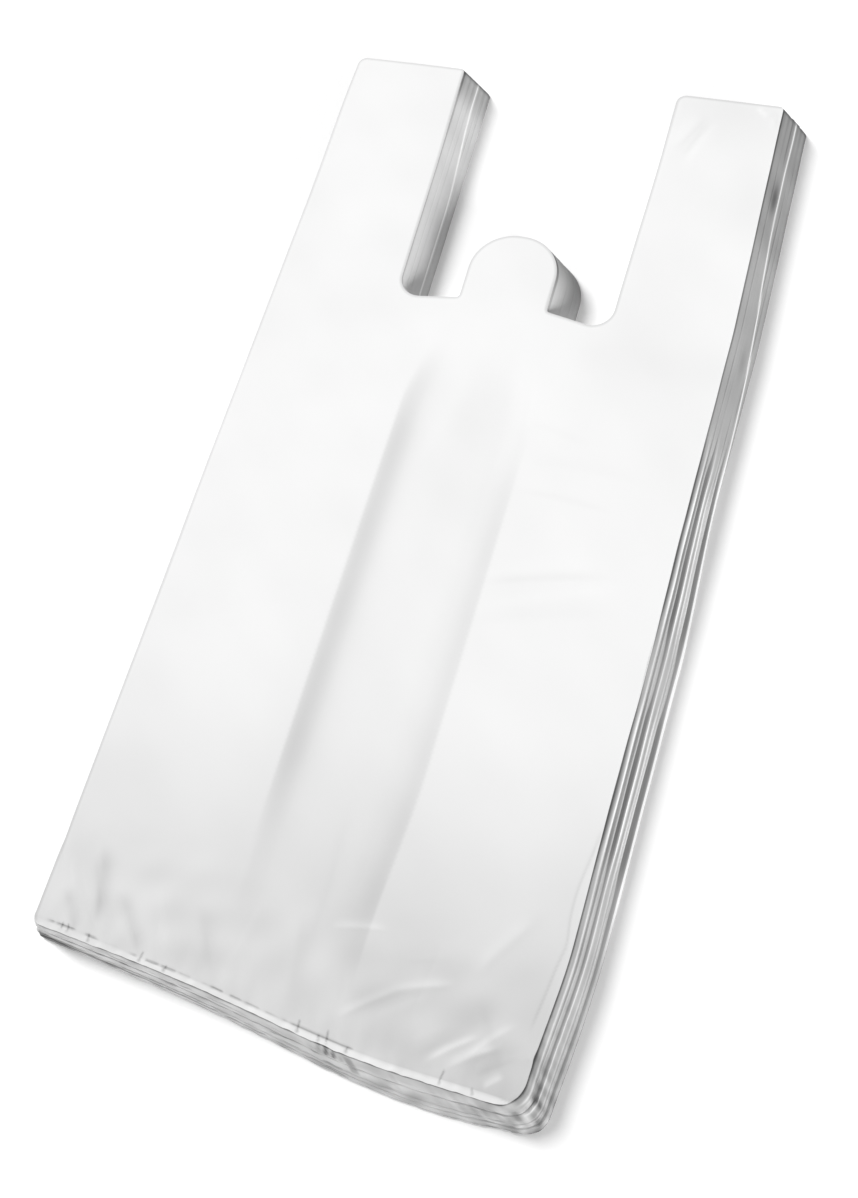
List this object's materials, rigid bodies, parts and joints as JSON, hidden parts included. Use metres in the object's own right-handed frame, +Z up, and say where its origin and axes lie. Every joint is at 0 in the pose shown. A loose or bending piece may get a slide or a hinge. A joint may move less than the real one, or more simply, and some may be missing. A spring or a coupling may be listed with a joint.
{
  "type": "pad of plastic carrier bags",
  "caption": "Pad of flat-folded white vest carrier bags, joined at a round tab in the die-cut neck between the two handles.",
  "frame": {"origin": "middle of the pad's bounding box, on the surface that the pad lies on", "axes": "+Y along the bags towards the handles, +Z up through the pad's thickness, +X to the right with the handles away from the viewer"},
  "size_m": [0.2552, 0.5066, 0.012],
  "materials": {
    "film": "thin white polyethylene film, softly glossy and slightly see-through"
  },
  "bodies": {
    "root": {"bag_pad": "film"}
  },
  "joints": []
}
